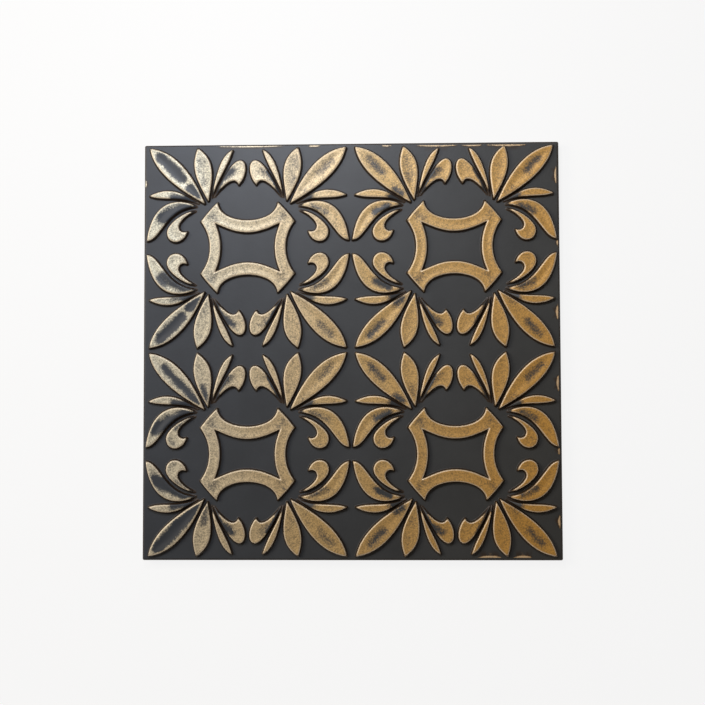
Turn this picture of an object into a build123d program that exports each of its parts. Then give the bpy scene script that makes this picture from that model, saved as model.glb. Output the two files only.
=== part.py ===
"""Decorative foam panel: a square moulded slab with a leaf ornament in relief, two tiles by two.

The panel lies flat on its back with the ornament facing up.
The origin is at the centre of the flat back face, and +Z points out of the decorated face.
"""

import os

from build123d import *

# Driving dimensions, in millimetres
tile_pitch = 248.0  # side of one ornament tile
tiles_per_side = 2
edge_margin = 2.0  # plain border outside the tiles
ground_thickness = 14.0  # from the flat back to the ground between the leaves
relief_height = 6.0  # from the ground to the top of the leaves
wall_flare = 1.5  # how far the foot of a relief wall stands outside its rim
tip_reach = 1.3  # how far the foot runs past a pointed tip, in wall flares
corner_round = 2.0  # rounding of the panel's upright corners
arris_bevel = 1.0  # bevel along the panel's front edges
dish_depth = 1.8  # depth of the hollow in a leaf
root_height = 0.8  # height that a stem keeps at its root
chords_per_arc = 4  # straight facets that make up an arc, few because the leaves repeat so often

# The ornament is drawn for a tile of this pitch, in its upper right quarter from the tile's centre.
# An outline is a ring of arcs, clockwise: their ends, and between two ends a point halfway along.
# A leaf's outline starts at its root.
drawn_pitch = 250.0
big_leaf = [
    (52.5, 54), (65, 79.5), (80.5, 100.5), (98.5, 115), (120, 122),
    (112, 103), (98.5, 86), (77.5, 69.5),
]
middle_leaf = [
    (48, 57.5), (45, 74.5), (44, 89.5), (47.5, 107), (61, 121.5),
    (64.5, 107), (63.5, 92), (58, 77),
]
narrow_leaf = [
    (43.5, 62), (38.5, 75.5), (31.5, 89.5), (24, 104.5), (18.5, 119),
    (27, 112.5), (33, 102), (38.5, 84),
]
club = [
    (40.5, 63), (30, 74.5), (21.5, 81), (15, 81.5), (10.5, 77),
    (4, 89), (3.5, 100.5), (5.5, 104.5), (9.5, 106), (14.5, 104), (20, 99), (31.5, 81),
]
side_leaf = [
    (60, 54.5), (68, 59.5), (76.5, 64), (95.5, 69.5), (119.5, 63.5),
    (108.5, 61), (96.5, 60.5), (79.5, 59.5),
]
crescent = [
    (62.5, 50.5), (85, 56), (106, 47.5), (116.5, 32.5), (122, 9),
    (113.5, 13), (105, 23), (89, 41),
]
comma = [
    (63.5, 45.5), (85, 36), (98, 19), (92, 8), (81, 9), (76.5, 13.5), (74, 19.5),
    (81, 19.5), (84.5, 26), (78, 36.5),
]
# The rim of the hollow in a leaf
big_leaf_dish = [(57.5, 60.5), (83.5, 98.5), (115, 117), (95.5, 88)]
crescent_dish = [(75, 52.5), (101.5, 46), (114, 26), (95.5, 41)]
# A quarter of the frame's outer and inner edges, from one axis of the tile to the other
frame_outer = [
    (0, 33), (13, 34.5), (25, 39), (33, 45.5), (37, 54.5), (47, 43.5), (56.5, 32), (48.5, 16.5), (46, 0),
]
frame_inner = [(0, 18.5), (21.5, 22.5), (40.5, 30.5), (35.5, 16.5), (33.5, 0)]
# How far from its root a leaf takes to rise to its full height
narrow_leaf_rise = 14
club_rise = 15
side_leaf_rise = 24
crescent_rise = 8
comma_rise = 8

# Sizes that follow from these
panel_side = tile_pitch * tiles_per_side + 2 * edge_margin
rim_level = ground_thickness + relief_height
drawing_scale = tile_pitch / drawn_pitch
ground_plane = Plane.XY.offset(ground_thickness)
rim_plane = Plane.XY.offset(rim_level)


def at(point):
    """A point of the drawing at its real place in the tile."""
    return Vector(*point) * drawing_scale


def chords(drawn):
    """The corners of the facets along a chain of drawn arcs, without the last end."""
    corners = []
    for start, halfway, end in zip(drawn[0::2], drawn[1::2], drawn[2::2]):
        arc = ThreePointArc(at(start), at(halfway), at(end), mode=Mode.PRIVATE)
        corners += [arc @ (step / chords_per_arc) for step in range(chords_per_arc)]
    return corners


def ring(drawn):
    """The corners round a closed outline."""
    return chords(drawn + drawn[:1])


def mirrored_ring(quarter):
    """The corners round an outline that is mirrored in both axes of the tile."""
    upper_right = chords(quarter) + [at(quarter[-1])]
    lower_right = [Vector(p.X, -p.Y) for p in reversed(upper_right)][1:]
    right = upper_right + lower_right
    return right + [Vector(-p.X, p.Y) for p in reversed(right)][1:-1]


def outset(corners, distance):
    """The same ring moved outwards, or inwards where the distance is negative."""
    moved = []
    following = corners[1:] + corners[:1]
    for index, (corner, after) in enumerate(zip(corners, following)):
        coming = (corner - corners[index - 1]).normalized().rotate(Axis.Z, 90)
        leaving = (after - corner).normalized().rotate(Axis.Z, 90)
        bisector = (coming + leaving).normalized()
        reach = min(1 / bisector.dot(leaving), tip_reach)
        moved.append(corner + bisector * (distance * reach))
    return moved


def root_slope(drawn, rise):
    """The plane that lowers a leaf towards its root."""
    root = at(drawn[0])
    along = ((at(drawn[1]) + at(drawn[-1])) / 2 - root).normalized()
    across = Vector(0, 0, 1).cross(along)
    uphill = along * (rise * drawing_scale) + Vector(0, 0, relief_height - root_height)
    start = root + Vector(0, 0, ground_thickness + root_height)
    return Plane(origin=start, x_dir=across, z_dir=uphill.cross(across))


def leaf(drawn, rise=None, dish=None):
    """A raised leaf with flared walls, sloped towards its root or hollowed where it is."""
    rim = ring(drawn)
    with BuildPart() as form:
        with BuildSketch(ground_plane):
            Polygon(*outset(rim, wall_flare), align=None)
        with BuildSketch(rim_plane):
            Polygon(*rim, align=None)
        loft(ruled=True)
        if rise:
            split(bisect_by=root_slope(drawn, rise), keep=Keep.BOTTOM)
        if dish:
            with BuildSketch(rim_plane, mode=Mode.PRIVATE) as hollow:
                Polygon(*ring(dish), align=None)
            bottom = (at(dish[1]) + at(dish[3])) / 2 + Vector(0, 0, rim_level - dish_depth)
            loft([hollow.sketch, Vertex(bottom)], ruled=True, mode=Mode.SUBTRACT)
    return form.part


# The leaves of one quarter of a tile
cluster = [
    leaf(big_leaf, dish=big_leaf_dish),
    leaf(middle_leaf),
    leaf(narrow_leaf, rise=narrow_leaf_rise),
    leaf(club, rise=club_rise),
    leaf(side_leaf, rise=side_leaf_rise),
    leaf(crescent, rise=crescent_rise, dish=crescent_dish),
    leaf(comma, rise=comma_rise),
]

# The curved frame in the middle of a tile
with BuildPart() as frame:
    for quarter, flare, mode in (
        (frame_outer, wall_flare, Mode.ADD),
        (frame_inner, -wall_flare, Mode.SUBTRACT),
    ):
        rim = mirrored_ring(quarter)
        with BuildSketch(ground_plane):
            Polygon(*outset(rim, flare), align=None)
        with BuildSketch(rim_plane):
            Polygon(*rim, align=None)
        loft(ruled=True, mode=mode)

# The relief of one tile: four clusters round the frame
with BuildPart() as tile:
    add(cluster)
    mirror(about=Plane.YZ)
    mirror(about=Plane.XZ)
    add(frame.part)

# The whole panel, moulded in one piece
with BuildPart() as foam_panel:
    with BuildSketch():
        RectangleRounded(panel_side, panel_side, corner_round)
    extrude(amount=ground_thickness)
    chamfer(foam_panel.faces().sort_by(Axis.Z)[-1].edges(), arris_bevel)
    with GridLocations(tile_pitch, tile_pitch, tiles_per_side, tiles_per_side):
        add(tile.part)

foam_panel.part.label = "foam_panel"
os.makedirs("parts", exist_ok=True)
export_step(foam_panel.part, "parts/foam_panel.step")
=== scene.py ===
# %% [markdown]
# # A decorative foam panel, cell by cell
# The real object is a square sheet of moulded polystyrene foam for a wall or a ceiling.
# Leaves and a curved frame stand up from it in low relief. It is painted charcoal all over,
# and gold is then brushed on the raised parts with an almost dry brush.
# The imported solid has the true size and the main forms, so it is loaded first and measured.

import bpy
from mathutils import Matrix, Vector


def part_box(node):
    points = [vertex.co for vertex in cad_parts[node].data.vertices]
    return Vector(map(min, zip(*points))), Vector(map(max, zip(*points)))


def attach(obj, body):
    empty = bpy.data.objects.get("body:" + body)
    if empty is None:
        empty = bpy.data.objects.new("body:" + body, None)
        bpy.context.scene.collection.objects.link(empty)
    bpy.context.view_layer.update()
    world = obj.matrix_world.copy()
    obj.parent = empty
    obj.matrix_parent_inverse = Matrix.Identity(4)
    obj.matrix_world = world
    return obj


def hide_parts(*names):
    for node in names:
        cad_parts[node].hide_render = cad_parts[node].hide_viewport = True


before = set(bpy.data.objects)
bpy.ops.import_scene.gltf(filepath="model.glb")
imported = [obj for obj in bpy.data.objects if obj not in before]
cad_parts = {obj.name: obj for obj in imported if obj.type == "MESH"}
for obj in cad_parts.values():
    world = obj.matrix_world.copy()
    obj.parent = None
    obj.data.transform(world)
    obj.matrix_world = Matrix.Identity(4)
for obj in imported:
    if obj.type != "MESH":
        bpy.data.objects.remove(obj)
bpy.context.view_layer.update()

import math

import bmesh
import bpy
import numpy as np
from mathutils import Matrix, Vector, noise
from mathutils.geometry import delaunay_2d_cdt

MM = 0.001  # metres in a millimetre
low, high = (np.array(corner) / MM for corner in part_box("foam_panel"))
panel_half = (high[0] - low[0]) / 2
panel_top = high[2]
print(f"The solid is {2 * panel_half:.1f} mm square and {panel_top:.1f} mm high")

# %% [markdown]
# ## The ornament's drawing
# The panel repeats one tile two by two, and a tile is one quarter mirrored in both its axes.
# So only seven leaves and a quarter of the frame are drawn, in millimetres from the tile's centre.
# A leaf has long smooth sides. Arcs would show a kink where they meet, so a Bezier curve draws
# each side in one sweep: its start and two handles, clockwise, and the next start closes it.

# %% Draw one quarter of a tile
edge_margin = 2.0  # plain border outside the tiles
tile_half = (panel_half - edge_margin) / 2
drawn_half = 125.0  # half the side of a tile in the drawing
drawing_scale = tile_half / drawn_half

leaves = {
    "big_leaf": [((52.5, 54.2), (67, 89), (88, 118)), ((119.2, 121.5), (114, 94), (87, 73))],
    "middle_leaf": [((47.8, 57.5), (43.5, 85), (38, 106)), ((61, 121.5), (67, 104), (68.5, 92))],
    "narrow_leaf": [((43.3, 62), (38.5, 80), (24, 100)), ((18.7, 119), (33, 112), (38, 90))],
    "club": [
        ((40.5, 63), (24.5, 83.5), (14.5, 86)),
        ((10.7, 77), (0.5, 88), (0.5, 106.5)),
        ((9.5, 106.2), (20, 105.5), (34, 77)),
    ],
    "side_leaf": [
        ((60, 54.5), (74.5, 61.8), (91.5, 78.3)),
        ((119.3, 63.6), (104, 57.5), (84.5, 64)),
    ],
    "crescent": [((62.5, 50.6), (86, 62), (116.5, 58)), ((122.5, 8.8), (105.5, 9.5), (101, 48.5))],
    "comma": [
        ((63.5, 45.3), (80, 43), (98, 28)),
        ((98, 19), (98, 3.5), (78, 3)),
        ((73.9, 19.6), (79, 17.2), (84.5, 20)),
        ((84.3, 26), (84.1, 32), (74, 41)),
    ],
}
frame_edges = {
    "frame_outer": [
        ((0, 33), (15, 33), (34.5, 38.5)),
        ((36.8, 54.6), (44, 47.6), (50.8, 39.8)),
        ((56.6, 31.8), (49.5, 22), (45.8, 12)),
        (45.8, 0),
    ],
    "frame_inner": [
        ((0, 18.5), (16, 18.5), (28, 25)),
        ((40.3, 30.3), (36.5, 22), (33.3, 12)),
        (33.3, 0),
    ],
}
motifs = {**leaves, **frame_edges}
print(f"Drawn by hand: {len(leaves)} leaves and a quarter of the frame")


# %% Follow the drawn sides
def ends_on_axis(drawn):
    """Whether a drawing ends in a single point on the tile's axis, as the frame's edges do."""
    return len(drawn[-1]) == 2


def sides(drawn):
    """The four points of each side. A leaf's last side closes on its start."""
    if ends_on_axis(drawn):
        ends = [side[0] for side in drawn[1:-1]] + [drawn[-1]]
        drawn = drawn[:-1]
    else:
        ends = [side[0] for side in drawn[1:] + drawn[:1]]
    return [np.array([*side, end], float) * drawing_scale for side, end in zip(drawn, ends)]


def along_side(points, spacing):
    """Places along one side, evenly spaced, and the direction to its right at each of them."""
    t = np.linspace(0, 1, 200)[:, None]
    basis = np.hstack([(1 - t) ** 3, 3 * t * (1 - t) ** 2, 3 * t**2 * (1 - t), t**3])
    fine = basis @ points
    run = np.concatenate([[0], np.cumsum(np.linalg.norm(np.diff(fine, axis=0), axis=1))])
    wanted = np.linspace(0, run[-1], max(3, round(run[-1] / spacing) + 1))
    places = np.column_stack([np.interp(wanted, run, fine[:, axis]) for axis in (0, 1)])
    heading = np.gradient(fine, axis=0)
    heading = np.column_stack([np.interp(wanted, run, heading[:, axis]) for axis in (0, 1)])
    heading /= np.linalg.norm(heading, axis=1)[:, None]
    return places, np.column_stack([heading[:, 1], -heading[:, 0]])


outline_spacing = 0.8
outlines = {}
for name, drawn in motifs.items():
    outlines[name] = np.vstack([along_side(side, outline_spacing)[0] for side in sides(drawn)])
print("Drawn outlines:", {name: f"{len(line)} points" for name, line in outlines.items()})

# %% [markdown]
# ## Distance from a rim
# The relief of a moulded panel follows its outlines: the wall climbs just outside each rim,
# the rim is rounded, and the top sinks a little towards the middle.
# Each could be modelled by hand, but one measure gives them all, the distance from the nearest
# rim, counted positive inside. It also tells the paint where a brush would touch.

# %% Measure distances from the outlines
far_away = 8.0  # a point that is further outside than this needs no exact distance
chunk = 4000  # points measured at a time, so that the arrays stay small


def is_open(line):
    """Whether a line ends on the tile's axes, as the quarters of the frame do."""
    return np.linalg.norm(line[0] - line[-1]) > 1


def is_inside(points, line):
    """Whether each point lies inside an outline; an open one is closed at the tile's centre."""
    if is_open(line):
        line = np.vstack([line, [[0, 0], line[0]]])
    inside = np.zeros(len(points), bool)
    for (x0, y0), (x1, y1) in zip(line[:-1], line[1:]):
        if y0 != y1:
            crosses = (y0 > points[:, 1]) != (y1 > points[:, 1])
            inside ^= crosses & (points[:, 0] < x0 + (points[:, 1] - y0) * (x1 - x0) / (y1 - y0))
    return inside


def rim_distance(points, line):
    """Signed distance of each point from an outline, positive inside it."""
    signed = np.full(len(points), -far_away)
    beside = (points > line.min(axis=0) - far_away) & (points < line.max(axis=0) + far_away)
    if is_open(line):
        beside = points < line.max(axis=0) + far_away
    near = np.flatnonzero(beside.all(axis=1))
    starts, steps = line[:-1], np.diff(line, axis=0)
    for some in np.array_split(near, len(near) // chunk + 1):
        to_point = points[some][:, None, :] - starts
        share = (to_point * steps).sum(2) / np.maximum((steps**2).sum(1), 1e-9)
        gap = to_point - np.clip(share, 0, 1)[:, :, None] * steps
        signed[some] = np.sqrt((gap**2).sum(2).min(1))
    signed[near] *= np.where(is_inside(points[near], line), 1, -1)
    return signed


def motif_distances(points):
    """The signed rim distance of each point from every leaf and from the frame, by name."""
    measured = {name: rim_distance(points, outlines[name]) for name in leaves}
    outer, inner = (rim_distance(points, outlines[name]) for name in frame_edges)
    measured["frame"] = np.minimum(outer, -inner)
    return measured


centre = motif_distances(np.array([[0.0, 0.0]]))["frame"][0]
print(f"The tile's centre is {-centre:.1f} mm inside the frame's opening")

# %% [markdown]
# ## Points for the mesh
# A square grid fine enough for these rims would need a million faces. Instead the points follow
# the ornament: lines of them run beside every outline where the wall bends, and only a few
# lie on the flat ground. Blender's constrained Delaunay triangulation then joins them, and keeps
# each of those lines as edges of the mesh.

# %% Choose where the lines run
wall_outside = 1.9  # how far outside a rim its wall meets the ground
wall_inside = 0.25  # how far inside a rim its wall ends
shoulder_from, shoulder_to = -0.2, 1.8  # where the rounding above the wall starts and ends
wall_lines = (-2.5, -1.9, -1.3, -0.7, -0.2, 0.25, 0.75, 1.25, 1.85)
plain_top_lines = (3, 5)
top_lines = {"big_leaf": (2.7,), "crescent": (2.7,)}  # a grid fills these two further in
line_spacing = 2.5


def line_beside(drawn, offset):
    """A run of points beside an outline, to its right if the offset is positive."""
    runs = [along_side(side, line_spacing) for side in sides(drawn)]
    closed = not ends_on_axis(drawn)
    points = []
    for index, (places, rights) in enumerate(runs):
        points += list(places + rights * offset)
        if index + 1 < len(runs) or closed:  # turn round the corner in steps
            turn_from, turn_to = rights[-1], runs[(index + 1) % len(runs)][1][0]
            for share in (0.25, 0.5, 0.75):
                turned = turn_from * (1 - share) + turn_to * share
                points.append(places[-1] + turned / max(np.linalg.norm(turned), 1e-6) * offset)
    if closed:
        points.append(points[0])
    return np.array(points)


print(f"Each outline gets {len(wall_lines)} lines on its wall, {line_spacing} mm between points")

# %% Lay the lines over a quarter tile
offset_error = 0.12  # a point further than this from its wanted distance has run past a corner
other_rim = -0.2  # a line ends where it comes this near to another motif
on_axis = -0.01  # a point this far past the tile's axis still counts as on it
shortest_edge, longest_edge = 0.2, 2.5 * line_spacing

quarter_points, quarter_edges = [], []
for name, drawn in motifs.items():
    facing = -1 if name == "frame_inner" else 1  # the inside of the frame's opening is ground
    for offset in wall_lines + top_lines.get(name, plain_top_lines):
        line = line_beside(drawn, facing * offset)
        others = motif_distances(line)
        others.pop("frame" if name in frame_edges else name)
        kept = np.abs(facing * rim_distance(line, outlines[name]) - offset) < offset_error
        kept &= np.max(list(others.values()), axis=0) < other_rim
        kept &= (line.min(axis=1) > on_axis) & (line.max(axis=1) < tile_half)
        lengths = np.linalg.norm(np.diff(line, axis=0), axis=1)
        joined = kept[:-1] & kept[1:] & (lengths > shortest_edge) & (lengths < longest_edge)
        first = len(quarter_points)
        quarter_points += list(np.maximum(line, 0))
        quarter_edges += [(first + i, first + i + 1) for i in np.flatnonzero(joined)]
used = sorted({end for edge in quarter_edges for end in edge})
renumbered = {old: new for new, old in enumerate(used)}
quarter_points = np.array([quarter_points[old] for old in used])
quarter_edges = [(renumbered[a], renumbered[b]) for a, b in quarter_edges]
print(f"A quarter tile has {len(quarter_points)} points on lines")

# %% Repeat the quarter over the panel
points, edges = [], []
for tile_x in (-tile_half, tile_half):
    for tile_y in (-tile_half, tile_half):
        for mirror_x in (-1, 1):
            for mirror_y in (-1, 1):
                first = sum(len(some) for some in points)
                points.append(quarter_points * (mirror_x, mirror_y) + (tile_x, tile_y))
                edges += [(a + first, b + first) for a, b in quarter_edges]
print(f"{len(points)} quarters make the panel")

# %% [markdown]
# ## Edge, ground and hollows
# A mould leaves the sheet's front edges and upright corners a little round. A bevel modifier would
# round the leaves' edges too, so the rounding is made of rings of points instead.
# The ground needs few points. The two hollow leaves need an even grid, or their shading
# shows streaks.

# %% Ring the panel's edge
edge_round = 2.4  # rounding of the front edges
corner_round = 2.0  # rounding of the upright corners
smallest_round = 0.3
edge_spacing = 2.5
paint_rings = [3.0, 3.6, 4.3, 5.1, 6.0]  # more rings, for the slivers of paint along the sides


def rounded_square(inset):
    """Points round the panel's outline, moved in by a distance."""
    radius = max(corner_round - inset, smallest_round)
    straight = panel_half - inset - radius
    steps = np.linspace(-straight, straight, round(2 * straight / edge_spacing))
    turn = np.radians(np.linspace(0, 90, 6)[1:-1])
    side = np.column_stack([steps, np.full(len(steps), panel_half - inset)])[::-1]
    bend = np.column_stack([-straight - radius * np.sin(turn), straight + radius * np.cos(turn)])
    quarter = np.vstack([side, bend])
    ring = []
    for _ in range(4):
        ring.append(quarter)
        quarter = np.column_stack([-quarter[:, 1], quarter[:, 0]])
    return np.vstack(ring)


round_rings = [edge_round * (1 - math.cos(math.radians(a))) for a in (0, 22.5, 45, 67.5, 90)]
for inset in round_rings + paint_rings:
    ring = rounded_square(inset)
    first = sum(len(some) for some in points)
    points.append(ring)
    edges += [(first + i, first + (i + 1) % len(ring)) for i in range(len(ring))]
print(f"{len(round_rings + paint_rings)} rings follow the panel's edge")

# %% Fill the ground and the hollows
grid_start = 6.0  # from the panel's edge to the first row
grid_end = 5.5  # and how near the last one may come
ground_step, clear_of_walls = 7.0, 4.0
hollow_step, inside_rim = 2.3, 3.6


def fold(places):
    """Brings points of the panel into the drawn quarter of a tile."""
    inside = np.clip(places, -2 * tile_half, 2 * tile_half)
    folded_in = np.abs(np.mod(inside, 2 * tile_half) - tile_half)
    return folded_in + (np.abs(places) - np.abs(inside))


def staggered_grid(step):
    """A grid of points over the panel with every second row moved by half a step."""
    rows = np.arange(grid_start - panel_half, panel_half - grid_end, step)
    grid = np.array([(x + step / 2 * (row % 2), y) for row, y in enumerate(rows) for x in rows])
    return grid[np.abs(grid).max(axis=1) < panel_half - grid_end]


ground = staggered_grid(ground_step)
nearest_rim = np.max(list(motif_distances(fold(ground)).values()), axis=0)
points.append(ground[nearest_rim < -clear_of_walls])
hollow = staggered_grid(hollow_step)
deep = motif_distances(fold(hollow))
points.append(hollow[(deep["big_leaf"] > inside_rim) | (deep["crescent"] > inside_rim)])
points = np.vstack(points)
print(f"The panel's face has {len(points)} points")

# %% Join the points into triangles
same_point = 0.02  # points nearer than this are one
made = delaunay_2d_cdt([Vector(p) for p in points], edges, [], 0, same_point, False)
face_points = np.array([(p.x, p.y) for p in made[0]])
triangles = made[2]
print(f"The triangulation has {len(face_points)} points and {len(triangles)} triangles")

# %% [markdown]
# ## The height of the relief
# Each leaf climbs from the ground in a soft S, because a hot mould leaves no sharp corner in foam.
# The big leaf and the crescent are hollow like a spoon, and the others sink only slightly.
# Five of the leaves start as low stems at their root and take 8 to 24 millimetres to rise.
# A displacement in the material could show all this, but then the exported mesh would be flat.

# %% Shape the relief
ground_level = 14.0
relief = panel_top - ground_level
shoulder = 0.7  # height of the rounding above the wall
root_share = 0.13  # how much of its height a stem keeps at its root
rises = {"narrow_leaf": 14, "club": 15, "side_leaf": 24, "crescent": 8, "comma": 8}
hollows = {"big_leaf": (0.8, 10), "crescent": (0.8, 9)}  # depth, and how far from the rim it takes
slight_hollow = (0.35, 5)


def ease(value, start, end):
    """0 before the start, 1 after the end, and a smooth S between them."""
    share = np.clip((value - start) / (end - start), 0, 1)
    return share * share * (3 - 2 * share)


def from_root(places, name):
    """How far each point is along a leaf from its root, in the direction in which it grows."""
    first_side, *_, last_side = sides(leaves[name])
    root = first_side[0]
    away = along_side(first_side, 4)[0][1] + along_side(last_side, 4)[0][-2] - 2 * root
    return (places - root) @ (away / np.linalg.norm(away))


folded = fold(face_points)
distances = motif_distances(folded)
heights = {}
for name, distance in distances.items():
    wall = (relief - shoulder) * ease(distance, -wall_outside, wall_inside)
    left_over = 1 - np.clip((distance - shoulder_from) / (shoulder_to - shoulder_from), 0, 1)
    depth, reach = hollows.get(name, slight_hollow)
    sunk = depth * ease(distance, shoulder_to, reach)
    heights[name] = wall + shoulder * (1 - left_over**2) - sunk
    if name in rises:
        grown = ease(from_root(folded, name), 0, rises[name])
        heights[name] *= root_share + (1 - root_share) * grown
height = np.max(list(heights.values()), axis=0)
print(f"The relief is {height.max():.2f} mm high")

# %% Round the front edges
past_corner = np.maximum(np.abs(face_points) - (panel_half - corner_round), 0)
from_edge = corner_round - np.linalg.norm(past_corner, axis=1)
from_side = panel_half - np.abs(face_points).max(axis=1)
from_edge = np.where(from_edge >= corner_round - 1e-6, from_side, from_edge)
dip = edge_round - np.clip(from_edge, 0, edge_round)
drop = edge_round - np.sqrt(np.maximum(edge_round**2 - dip**2, 0))
level = ground_level + height - drop
print(f"The face comes down to {level.min():.1f} mm at its edge")

# %% [markdown]
# ## Sides and back
# The sheet's sides are straight and its back is flat, so that it can be glued on.
# The face's border is drawn down in a few rings, the last two slightly inwards as an arris,
# and the back is filled in. This keeps the body one closed mesh, which a real solid sheet is.

# %% Close the body
side_rings = ((8.5, 0), (4.5, 0), (0.5, 0), (0.15, 0.075), (0, 0.25))  # height, and step inwards
body = bmesh.new()
vertices = [body.verts.new((x * MM, y * MM, z * MM)) for (x, y), z in zip(face_points, level)]
for triangle in triangles:
    body.faces.new([vertices[i] for i in triangle])
rim = [edge for edge in body.edges if edge.is_boundary]
for ring_height, step_in in side_rings:
    grown = bmesh.ops.extrude_edge_only(body, edges=rim)["geom"]
    rim = [part for part in grown if isinstance(part, bmesh.types.BMEdge)]
    shrink = 1 - step_in / panel_half
    for vertex in {end for edge in rim for end in edge.verts}:
        vertex.co = (vertex.co.x * shrink, vertex.co.y * shrink, ring_height * MM)
for edge in rim:
    edge.smooth = False
bmesh.ops.triangle_fill(body, edges=rim, use_beauty=True)
bmesh.ops.recalc_face_normals(body, faces=body.faces)
mesh = bpy.data.meshes.new("moulded_panel")
body.to_mesh(mesh)
body.free()
mesh.shade_smooth()
panel = bpy.data.objects.new("moulded_panel", mesh)
bpy.context.scene.collection.objects.link(panel)
print(f"The moulded panel has {len(mesh.polygons)} faces")

# %% [markdown]
# ## Where the gold goes
# A dry brush that is dragged over the relief leaves paint on the rims and the tops,
# and misses the hollows, the stems and the walls. It could be painted by hand on the mesh,
# but a rule can be read and changed. So the share of gold is worked out for each point from its
# distance to the rim and its place on the leaf. The hand was lightest in the first column of
# leaves, so there the hollows stay charcoal.

# %% Find each point's leaf, column and row
motif_names = list(distances)
stacked = np.array([distances[name] for name in motif_names])
motif = np.array(motif_names)[stacked.argmax(axis=0)]
rim_gap = stacked.max(axis=0)
steps_from_centre = np.floor(face_points.T * [[1], [-1]] / tile_half).astype(int)
column, row = np.clip(steps_from_centre + 2, 0, 3)
print("Points on each motif:", {name: int((motif == name).sum()) for name in motif_names})

# %% List the bare patches
# leaf, middle line of the patch, where it is fully bare and where it has faded, its share in each
# column and row of leaves, the side of the outline that keeps its gold (None for all), and how much
every_row = (1, 1, 1, 1)
bare_patches = [
    ("big_leaf", (80, 85), (106, 111), 4.0, 9.0, (1, 0, 0, 0), (1, 1, 0, 0), None, 0.9),
    ("big_leaf", (61, 64), (70, 72), 4.0, 9.0, (1, 0, 0, 0), (1, 1, 0, 0), None, 0.8),
    ("big_leaf", (60, 62), (101, 105), 1.5, 8.0, (1, 0, 0, 0), (0, 0, 1, 0), None, 1),
    ("big_leaf", (58, 60), (106, 110), 5.0, 11.0, (1, 0, 0, 0), (0, 0, 0, 1), None, 0.95),
    ("big_leaf", (87, 91), (102, 107), 0.0, 8.0, (0, 0.5, 0.75, 0.7), every_row, None, 1),
    ("big_leaf", (64, 64), (71, 69), 0.0, 8.5, (0, 0.2, 0.9, 0.25), every_row, 0, 0.8),
    ("crescent", (70, 50), (103, 37), 4.0, 12.0, (1, 0, 0, 0), (1, 0.95, 0, 0), 0, 0.9),
    ("crescent", (70, 50), (111, 30), 4.0, 12.0, (1, 0, 0, 0), (0, 0, 1, 1), 0, 0.9),
    ("crescent", (79, 49), (95, 42), 0.0, 8.5, (0, 0.6, 1, 0.75), every_row, 0, 0.9),
    ("side_leaf", (62, 56), (89, 62), 0.0, 10.5, (1, 0, 0, 0), (1, 0.7, 1, 1), 0, 0.7),
    ("club", (18, 93), (27, 86), 0.5, 8.0, (0.95, 0.5, 0.8, 0.1), (1, 1, 0.6, 1), 0, 0.8),
    ("club", (38, 68), (24, 94), 0.6, 3.2, (1, 1, 1, 0.8), every_row, 0, 0.8),
    (
        "middle_leaf", (54, 82), (57, 106), 0.0, 11.0,
        (0.36, 0.46, 0.5, 0.1), (1, 0.3, 0.3, 0.3), None, 1,
    ),
    (
        "middle_leaf", (49, 62), (53, 82), 0.0, 8.0,
        (1, 0.1, 0.3, 0.1), (0.1, 0.3, 0.9, 0.7), None, 0.6,
    ),
    ("comma", (88, 12), (93, 18), 0.0, 5.0, (0.45, 0.15, 0.15, 0.1), (0.1, 0.3, 1, 1), None, 1),
    ("comma", (66, 44), (86, 32), 0.0, 7.0, (0.9, 0, 0, 0), (0, 0, 0.9, 0.7), None, 0.4),
    ("frame", (39, 33), (46, 42), 0.0, 9.0, (0.45, 0.4, 0.4, 0.3), every_row, None, 1),
]
print(f"{len(bare_patches)} kinds of bare patch")

# %% Brush the gold round the bare patches
gold_edge = (-0.5, 0.3)  # the gold starts just outside a rim
rim_gold = (0.6, 2.8)  # the gold that a patch keeps along a rim ends between these
wobble_size, wobble_share = 9.0, 0.35  # an unsteady hand makes the patches uneven
wobble = np.array([noise.noise(Vector((x, y, 0)) / wobble_size) for x, y in face_points])

gold = ease(rim_gap, *gold_edge)
for leaf, start, end, solid, faded, by_column, by_row, kept_side, kept_share in bare_patches:
    start, end = (np.array(point, float) * drawing_scale for point in (start, end))
    step = end - start
    share = np.clip((folded - start) @ step / (step @ step), 0, 1)
    away = np.linalg.norm(folded - start - share[:, None] * step, axis=1)
    bare = 1 - ease(away * (1 + wobble_share * wobble), solid, faded)
    bare *= np.array(by_column)[column] * np.array(by_row)[row]
    rim_near = rim_gap
    if kept_side is not None:
        side_line = along_side(sides(leaves[leaf])[kept_side], outline_spacing)[0]
        rim_near = np.abs(rim_distance(folded, side_line))
    bare *= 1 - kept_share * (1 - ease(rim_near, *rim_gold))
    gold = np.where(motif == leaf, gold * (1 - bare), gold)
print(f"Round the patches, gold covers {100 * gold.mean():.0f} % of the face's points")

# %% Leave the stems and the outer tips bare
# from where to where along a leaf its bare stem turns to gold
stems = {
    "narrow_leaf": (5, 12),
    "club": (7, 16),
    "side_leaf": (16, 27),
    "crescent": (2, 7),
    "comma": (2.5, 8),
}
tip_clear = (6.5, 10)  # the brush stayed this far from the panel's left and right sides
for leaf, (start, end) in stems.items():
    stem = 1 - ease(from_root(folded, leaf), start, end)
    gold = np.where(motif == leaf, gold * (1 - stem), gold)
tips = np.isin(motif, ("big_leaf", "side_leaf"))
inside_tips = ease(panel_half - np.abs(face_points[:, 0]), *tip_clear)
gold = np.where(tips, gold * inside_tips, gold)
print(f"Without stems and tips, gold covers {100 * gold.mean():.0f} % of them")
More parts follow.
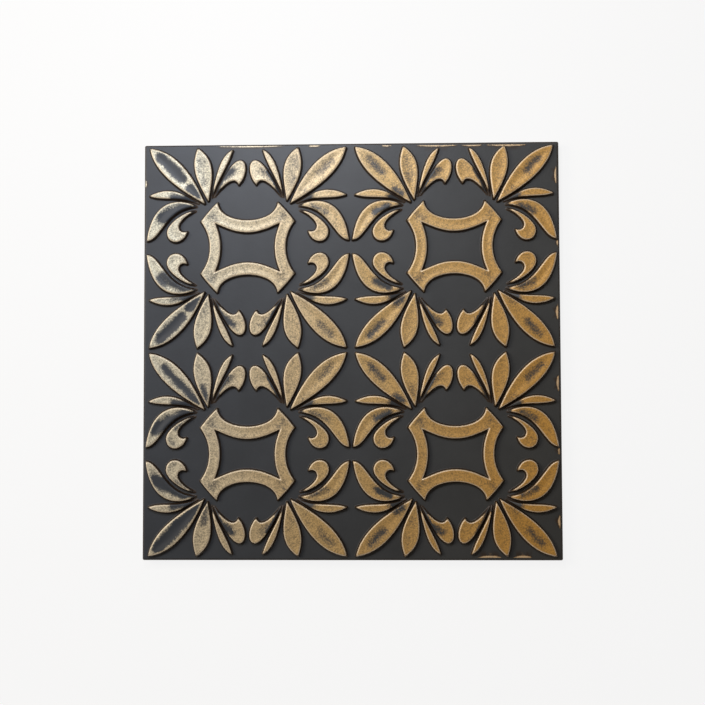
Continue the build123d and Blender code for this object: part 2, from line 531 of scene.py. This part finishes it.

# %% [markdown]
# ## Grooves and slivers
# The groove at the foot of each wall and the panel's edges get a dark brown as painted shade, where
# the walls and the rounded edge fall in shadow. Where the brush slipped over an edge it left thin
# pale slivers of gold, with a painted highlight on them and a band of painted shade inside them.
# They are only a film of paint, so they are drawn as shares on the mesh and not as shapes.

# %% Paint shade into the grooves and the edges
groove_outer, groove_inner = (-2.2, -1.6), (-0.3, 0.3)  # distances from a rim
edge_shade, edge_band = 0.85, (1.0, 2.2)
# painted shade: dark brown at the feet of the walls and along the panel's edges
groove_shade = ease(rim_gap, *groove_outer) * (1 - ease(rim_gap, *groove_inner))
groove_shade = np.maximum(groove_shade, edge_shade * (1 - ease(from_edge, *edge_band)))
print(f"Grooves darken {100 * groove_shade.mean():.0f} % of the face's points")

# %% Draw the slivers along the sides
# from where to where along the side, how far in, and how wide in the middle
edge_slivers = {
    "top": [
        (-164, -79, 2.3, 1.3), (-52, -36, 2.4, 1.3), (38, 49, 2.8, 1.7),
        (77, 131, 3.2, 1.7), (133, 160, 3.3, 1.5), (162, 213, 3.4, 1.8),
    ],
    "right": [
        (199, 220, 3.4, 2.2), (124, 131, 2.2, 1.8), (35, 54, 3.0, 2.4),
        (-50, -30, 3.0, 2.6), (-124, -117, 3.0, 1.8), (-212, -196, 3.0, 2.6),
    ],
    "bottom": [(149, 178, 3.4, 2.6), (192, 214, 3.4, 2.6)],
    "left": [(198, 207, 1.4, 1.6)],
}
sliver_gold, sliver_shine = 0.9, 0.7
across, up = face_points.T
side_places = {
    "top": (across, panel_half - up),
    "right": (up, panel_half - across),
    "bottom": (across, panel_half + up),
    "left": (up, panel_half + across),
}
pale = np.zeros(len(face_points))
for side, slivers in edge_slivers.items():
    along, inwards = side_places[side]
    for start, end, outer, width in slivers:
        bow = np.maximum(1 - ((2 * along - start - end) / (end - start)) ** 2, 0)
        ends = ease(bow, 0, 0.3)
        inner = outer + width * bow
        sliver = ease(inwards, outer - 0.5, outer + 0.3) * ends
        sliver *= 1 - ease(inwards, inner - 0.6, inner + 0.3)
        shade = ease(inwards, inner - 0.2, inner + 0.4) * ends
        shade *= 1 - ease(inwards, inner + 0.9, inner + 1.9)
        gold = np.maximum(gold, sliver_gold * sliver)
        # a painted highlight on each sliver, carried with the rims' highlight
        pale = np.maximum(pale, sliver_shine * sliver)
        # painted shade: a dark band just inside each sliver
        groove_shade = np.maximum(groove_shade * (1 - sliver), shade)
print(f"{sum(len(slivers) for slivers in edge_slivers.values())} slivers along the sides")

# %% Store the shares on the mesh
top_gold = 0.84  # the gold lies a little thinner on the tops than on the rims
gold *= top_gold + (1 - top_gold) * (1 - ease(rim_gap, 0.4, 1.8))
# painted highlight: a pale line along each rim where there is gold, and on the slivers
rim_middle, rim_width = 0.3, (0.3, 1.1)
rim_highlight = (1 - ease(np.abs(rim_gap - rim_middle), *rim_width)) * gold
rim_highlight = np.maximum(rim_highlight, pale)

for title, values in (("gold_share", gold), ("groove_shade", groove_shade), ("rim_highlight", rim_highlight)):
    stored = mesh.attributes.new(title, "FLOAT", "POINT")
    everywhere = np.zeros(len(mesh.vertices), np.float32)
    everywhere[: len(values)] = values
    stored.data.foreach_set("value", everywhere)
    print(f"{title} is {values.mean():.2f} on average")


# %% [markdown]
# ## Paint on foam
# All of the panel is one moulded body, so it has one material with two paints and bare foam in it.
# Separate materials would meet in a hard line along the mesh's edges. Here the shares that are
# stored on the mesh mix them, and noise with a real size in millimetres breaks up the borders.

# %% Helpers for the materials
def linear(hex_colour):
    """An sRGB hex colour as linear values, with an alpha of one."""
    channels = [int(hex_colour[i : i + 2], 16) / 255 for i in (1, 3, 5)]
    return [c / 12.92 if c <= 0.04045 else ((c + 0.055) / 1.055) ** 2.4 for c in channels] + [1]


def per_metre(size_mm):
    """The texture scale at which one feature is this many millimetres wide."""
    return 1 / (size_mm * MM)


def add_node(tree, kind, links=None, **settings):
    """Adds a node, sets its properties, and fills its inputs with values or links."""
    made = tree.nodes.new(kind)
    for name, value in settings.items():
        setattr(made, name, value)
    for socket, value in (links or {}).items():
        if isinstance(value, bpy.types.NodeSocket):
            tree.links.new(value, made.inputs[socket])
        else:
            made.inputs[socket].default_value = value
    return made


def new_material(title):
    """A material with an empty node tree, and the tree to fill."""
    material = bpy.data.materials.new(title)
    material.use_nodes = True
    material.node_tree.nodes.clear()
    return material, material.node_tree


print("White is", linear("#ffffff"))

# %% Read the shares and lay out the patterns
paint, tree = new_material("satin_acrylic_on_polystyrene_with_brushed_gold")
where = add_node(tree, "ShaderNodeTexCoord").outputs["Object"]
gold_share = add_node(tree, "ShaderNodeAttribute", attribute_name="gold_share").outputs["Fac"]
groove_shade_share = add_node(tree, "ShaderNodeAttribute", attribute_name="groove_shade").outputs["Fac"]
rim_highlight_share = add_node(tree, "ShaderNodeAttribute", attribute_name="rim_highlight").outputs["Fac"]

# sprayed paint is cloudy over a few centimetres, and a brush load changes within one
cloud_size, patch_size = 38, 11
# a dry brush leaves specks of a millimetre or two; the powder itself is too fine to show
speck_size = 1.7
clouds = add_node(
    tree, "ShaderNodeTexNoise", {"Vector": where, "Scale": per_metre(cloud_size), "Detail": 3}
)
patch = add_node(
    tree, "ShaderNodeTexNoise", {"Vector": where, "Scale": per_metre(patch_size), "Detail": 3}
)
speck = add_node(
    tree,
    "ShaderNodeTexNoise",
    {"Vector": where, "Scale": per_metre(speck_size), "Detail": 3, "Roughness": 0.65},
)
# from the upper left of the panel, 0, to its lower right, 1: the fall of the painted sheen and
# painted cool light
slant = add_node(
    tree, "ShaderNodeVectorMath", {0: where, 1: (1, -0.22, 0)}, operation="DOT_PRODUCT"
)
painted_sheen_fade = add_node(
    tree,
    "ShaderNodeMapRange",
    {"Value": slant.outputs["Value"], "From Min": -0.25, "From Max": 0.25},
).outputs["Result"]
print(f"Patterns of {cloud_size}, {patch_size} and {speck_size} mm")

# %% [markdown]
# ## Charcoal acrylic
# The body colour is a satin acrylic paint, sprayed on moulded polystyrene. To the eye it is a dark
# grey with a soft sheen and faintly cloudy, with a dark brown painted shade in the grooves and
# along the edges.
# It is bluish at the upper left and neutral at the lower right, a painted cool reflection of the
# light there. Coloured lamps could do that too, but other light would lose it, so the colour is
# painted over the panel.

# %% Mix the charcoal
cloudy = add_node(
    tree,
    "ShaderNodeMapRange",
    {
        "Value": clouds.outputs["Fac"],
        "From Min": 0.3,
        "From Max": 0.7,
        "To Min": 0.9,
        "To Max": 1.1,
    },
)
# painted light: a cool bluish tint at the upper left, neutral at the lower right
charcoal = add_node(
    tree,
    "ShaderNodeMix",
    {"Factor": painted_sheen_fade, "A": linear("#383e47"), "B": linear("#424342")},
    data_type="RGBA",
)
charcoal = add_node(
    tree,
    "ShaderNodeMix",
    {"Factor": 1, "A": charcoal.outputs["Result"], "B": cloudy.outputs["Result"]},
    data_type="RGBA",
    blend_type="MULTIPLY",
)
# painted shade in the grooves and along the edges, in dark brown
charcoal = add_node(
    tree,
    "ShaderNodeMix",
    {"Factor": groove_shade_share, "A": charcoal.outputs["Result"], "B": linear("#392b1e")},
    data_type="RGBA",
)
print("Charcoal from #383e47 to #424342, with grooves of #392b1e")

# %% [markdown]
# ## Raw foam
# The back isn't painted, because it is glued on. It is raw expanded polystyrene: white beads
# pressed together, which show as a net of fine seams. Cells of a Voronoi texture look just like
# them, at the real size of a bead. The paint stops in a ragged line just above the back.

# %% Leave the back raw
bead_size = 4.5
paint_rag = 4 * MM  # how far the paint's end wanders
paint_fade = 0.5 * MM
depth = add_node(tree, "ShaderNodeSeparateXYZ", {0: where}).outputs["Z"]
ragged = add_node(
    tree,
    "ShaderNodeMath",
    {0: patch.outputs["Fac"], 1: -paint_rag, 2: depth},
    operation="MULTIPLY_ADD",
)
painted = add_node(
    tree,
    "ShaderNodeMapRange",
    {"Value": ragged.outputs[0], "From Min": -paint_fade, "From Max": paint_fade},
)
beads = add_node(
    tree,
    "ShaderNodeTexVoronoi",
    {"Vector": where, "Scale": per_metre(bead_size)},
    feature="DISTANCE_TO_EDGE",
)
seam = add_node(
    tree, "ShaderNodeMapRange", {"Value": beads.outputs["Distance"], "From Max": 0.12}
)
raw_foam = add_node(
    tree,
    "ShaderNodeMix",
    {"Factor": seam.outputs["Result"], "A": linear("#cfcec8"), "B": linear("#efeeea")},
    data_type="RGBA",
)
body_colour = add_node(
    tree,
    "ShaderNodeMix",
    {
        "Factor": painted.outputs["Result"],
        "A": raw_foam.outputs["Result"],
        "B": charcoal.outputs["Result"],
    },
    data_type="RGBA",
)
print(f"Beads of {bead_size} mm on the back")

# %% [markdown]
# ## Brushed gold
# The gold is bronze powder in an acrylic binder. It was brushed on almost dry, so it breaks into
# specks with charcoal between them and lies thickest along the rims, where a pale cream is mixed in
# as a painted highlight.
# It is only partly metallic, because the binder covers most of the powder. Like the charcoal it
# changes over the panel, from a pale gold at the upper left to a deep one at the lower right; the
# paleness at the upper left is a painted sheen of the light there.

# %% Mix the gold
# painted sheen: the gold is paler towards the upper left, where the light falls
gold_and_sheen = add_node(tree, "ShaderNodeValToRGB", {"Fac": painted_sheen_fade})
gold_and_sheen_tones = gold_and_sheen.color_ramp.elements
gold_and_sheen_tones.new(0.5)
for stop, hex_colour in zip(gold_and_sheen_tones, ("#e2dec9", "#d6b479", "#d9a450")):
    stop.color = linear(hex_colour)
darkest = add_node(
    tree, "ShaderNodeMapRange", {"Value": painted_sheen_fade, "To Min": 0.55, "To Max": 0.8}
)
fleck = add_node(
    tree,
    "ShaderNodeMapRange",
    {
        "Value": speck.outputs["Fac"],
        "From Min": 0.32,
        "From Max": 0.68,
        "To Min": darkest.outputs["Result"],
        "To Max": 1.22,
    },
)
gold_colour = add_node(
    tree,
    "ShaderNodeMix",
    {"Factor": 1, "A": gold_and_sheen.outputs["Color"], "B": fleck.outputs["Result"]},
    data_type="RGBA",
    blend_type="MULTIPLY",
)
# painted highlight: cream mixed into the gold along the rims and slivers
shine = add_node(tree, "ShaderNodeMath", {0: rim_highlight_share, 1: 0.8}, operation="MULTIPLY")
gold_colour = add_node(
    tree,
    "ShaderNodeMix",
    {"Factor": shine.outputs[0], "A": gold_colour.outputs["Result"], "B": linear("#fbe9cd")},
    data_type="RGBA",
)
print(f"Gold in {len(gold_and_sheen_tones)} tones, with rims of #fbe9cd")

# %% Break it into specks
speck_share, patch_share = 1.3, 0.6  # how strongly each pattern breaks up the gold
cover_from, cover_to = 0.98, 1.9
specks = add_node(
    tree,
    "ShaderNodeMath",
    {0: speck.outputs["Fac"], 1: speck_share, 2: gold_share},
    operation="MULTIPLY_ADD",
)
brushed = add_node(
    tree,
    "ShaderNodeMath",
    {0: patch.outputs["Fac"], 1: patch_share, 2: specks.outputs[0]},
    operation="MULTIPLY_ADD",
)
brushed = add_node(
    tree,
    "ShaderNodeMapRange",
    {"Value": brushed.outputs[0], "From Min": cover_from, "From Max": cover_to},
    interpolation_type="SMOOTHSTEP",
)
# no specks where the brush never touched
touched = add_node(tree, "ShaderNodeMapRange", {"Value": gold_share, "From Max": 0.15})
cover = add_node(
    tree,
    "ShaderNodeMath",
    {0: brushed.outputs["Result"], 1: touched.outputs["Result"]},
    operation="MULTIPLY",
).outputs[0]
print(f"The gold's cover grows from {cover_from} to {cover_to} of the added shares")

# %% Put the finish together
pebble_size = 3.2  # the foam's beads show through the paint as a faint pebbling
acrylic_rough, gold_rough, gold_metallic = 0.46, 0.45, 0.25
colour = add_node(
    tree,
    "ShaderNodeMix",
    {"Factor": cover, "A": body_colour.outputs["Result"], "B": gold_colour.outputs["Result"]},
    data_type="RGBA",
)
metal = add_node(tree, "ShaderNodeMath", {0: cover, 1: gold_metallic}, operation="MULTIPLY")
gloss = add_node(
    tree, "ShaderNodeMapRange", {"Value": cover, "To Min": acrylic_rough, "To Max": gold_rough}
)
pebbles = add_node(
    tree, "ShaderNodeTexNoise", {"Vector": where, "Scale": per_metre(pebble_size), "Detail": 2}
)
bump = add_node(
    tree,
    "ShaderNodeBump",
    {"Height": pebbles.outputs["Fac"], "Strength": 0.12, "Distance": 0.5 * MM},
)
bump = add_node(
    tree,
    "ShaderNodeBump",
    {
        "Height": specks.outputs[0],
        "Strength": 0.15,
        "Distance": 0.25 * MM,
        "Normal": bump.outputs["Normal"],
    },
)
shader = add_node(
    tree,
    "ShaderNodeBsdfPrincipled",
    {
        "Base Color": colour.outputs["Result"],
        "Metallic": metal.outputs[0],
        "Roughness": gloss.outputs["Result"],
        "Normal": bump.outputs["Normal"],
        "IOR": 1.49,  # acrylic
    },
)
add_node(tree, "ShaderNodeOutputMaterial", {"Surface": shader.outputs[0]})
mesh.materials.append(paint)
print(f"The paint has {len(tree.nodes)} nodes")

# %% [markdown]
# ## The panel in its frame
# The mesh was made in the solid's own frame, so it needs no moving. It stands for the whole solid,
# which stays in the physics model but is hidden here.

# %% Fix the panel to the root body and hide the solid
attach(panel, "root")
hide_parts("foam_panel")
print("The moulded panel replaces the solid")

# %% [markdown]
# ## Floor
# The panel lies on a plain floor of pale matt card. More light would make the card white, but it
# would bleach the panel too. So the camera and reflections see a mix, mostly plain white, with
# enough of the card in it to keep the panel's shadow. Far out the floor turns up in a cove,
# as a studio backdrop does, so that low views show no horizon.

# %% Mix the card
white_share = 0.87
floor_material, tree = new_material("pale_matt_card")
card = add_node(
    tree, "ShaderNodeBsdfPrincipled", {"Base Color": linear("#ecebe9"), "Roughness": 0.9}
)
white = add_node(tree, "ShaderNodeEmission", {"Color": linear("#ffffff"), "Strength": 1})
path = add_node(tree, "ShaderNodeLightPath")
seen = path.outputs["Is Camera Ray"]
for kind_of_ray in ("Is Glossy Ray", "Is Transmission Ray"):
    seen = add_node(
        tree, "ShaderNodeMath", {0: seen, 1: path.outputs[kind_of_ray]}, operation="MAXIMUM"
    ).outputs[0]
share = add_node(tree, "ShaderNodeMath", {0: seen, 1: white_share}, operation="MULTIPLY")
both = add_node(
    tree,
    "ShaderNodeMixShader",
    {"Fac": share.outputs[0], 1: card.outputs[0], 2: white.outputs[0]},
)
add_node(tree, "ShaderNodeOutputMaterial", {"Surface": both.outputs[0]})
print(f"The card looks {100 * white_share:.0f} % white")

# %% Lay the floor
flat_reach = 5.0  # metres from the middle to where the floor turns up
cove_radius = 1.9  # of the bend that hides the horizon
below_panel = 0.5 * MM  # so that the floor and the panel's back don't share a plane
turns = 64
bends = np.radians(np.arange(0, 91, 10))
profile = [
    (flat_reach + cove_radius * math.sin(b), cove_radius * (1 - math.cos(b))) for b in bends
]
angles = np.radians(np.arange(turns) * 360 / turns)
floor_points = [(r * math.cos(a), r * math.sin(a), z) for r, z in profile for a in angles]
floor_faces = [tuple(range(turns))]
for ring in range(len(profile) - 1):
    for turn in range(turns):
        first, second = ring * turns + turn, ring * turns + (turn + 1) % turns
        floor_faces.append((first, first + turns, second + turns, second))
floor_mesh = bpy.data.meshes.new("floor")
floor_mesh.from_pydata(floor_points, [], floor_faces)
floor_mesh.shade_smooth()
floor_mesh.polygons[0].use_smooth = False  # the flat middle
floor_mesh.materials.append(floor_material)
floor = bpy.data.objects.new("floor", floor_mesh)
floor.location.z = -below_panel
bpy.context.scene.collection.objects.link(floor)
print(f"The floor is flat for {flat_reach} m and rises {cove_radius} m at its rim")

# %% [markdown]
# ## Light
# One large lamp overhead would be simpler, but relief lit from above looks flat. So a small lamp
# stands beyond the panel's upper edge and brightens that side, a larger one at its left makes
# short soft shadows, and a dim warm sky fills them. Both lamps stand where their mirror images
# miss the panel as the camera sees it.


# %% Set the light
def hang_lamp(title, place, aim, size, watts, hex_colour, spread):
    """A square area lamp at one place, turned towards another."""
    lamp = bpy.data.lights.new(title, "AREA")
    lamp.shape = "SQUARE"
    lamp.size = size
    lamp.spread = math.radians(spread)
    lamp.energy = watts
    lamp.color = linear(hex_colour)[:3]
    lamp_object = bpy.data.objects.new(title, lamp)
    lamp_object.location = place
    direction = Vector(aim) - Vector(place)
    lamp_object.rotation_euler = direction.to_track_quat("-Z", "Y").to_euler()
    bpy.context.scene.collection.objects.link(lamp_object)
    print(f"{title}: {watts} W from {direction.length:.2f} m")


hang_lamp("window_light", (-0.16, 0.62, 1.0), (-0.12, 0.48, 0), 0.26, 2.7, "#f4f7ff", 110)
hang_lamp("side_window", (-1.25, 0.42, 1.25), (0.05, -0.05, 0), 0.7, 13.0, "#fff6ea", 180)

world = bpy.data.worlds.new("dim_sky")
bpy.context.scene.world = world
world.use_nodes = True
sky = world.node_tree.nodes["Background"]
sky.inputs["Color"].default_value = linear("#ffeedd")
sky.inputs["Strength"].default_value = 0.13

# %% [markdown]
# ## Camera
# The camera looks almost straight down, a little from the lower right, as the photograph does.
# A long lens keeps the square's sides nearly parallel. Its place was found by comparing the
# ornament's corners in the render and in the photograph.

# %% Place the camera
camera_place = Vector((0.0571, -0.0892, 1.5930))
camera_aim = Vector((0.0017, -0.0028, 0.013))
camera_roll = -0.0046
camera = bpy.data.cameras.new("camera")
camera.sensor_width = 36
camera.lens = 67.5
camera_object = bpy.data.objects.new("camera", camera)
back = (camera_place - camera_aim).normalized()
level_right = Vector((math.cos(camera_roll), math.sin(camera_roll), 0))
right = (level_right - back * level_right.dot(back)).normalized()
axes = Matrix((right, back.cross(right), back)).transposed()
camera_object.matrix_world = Matrix.Translation(camera_place) @ axes.to_4x4()
bpy.context.scene.collection.objects.link(camera_object)
bpy.context.scene.camera = camera_object

bpy.context.scene.view_settings.view_transform = "Standard"
print(f"The camera is {(camera_place - camera_aim).length:.2f} m from the panel")
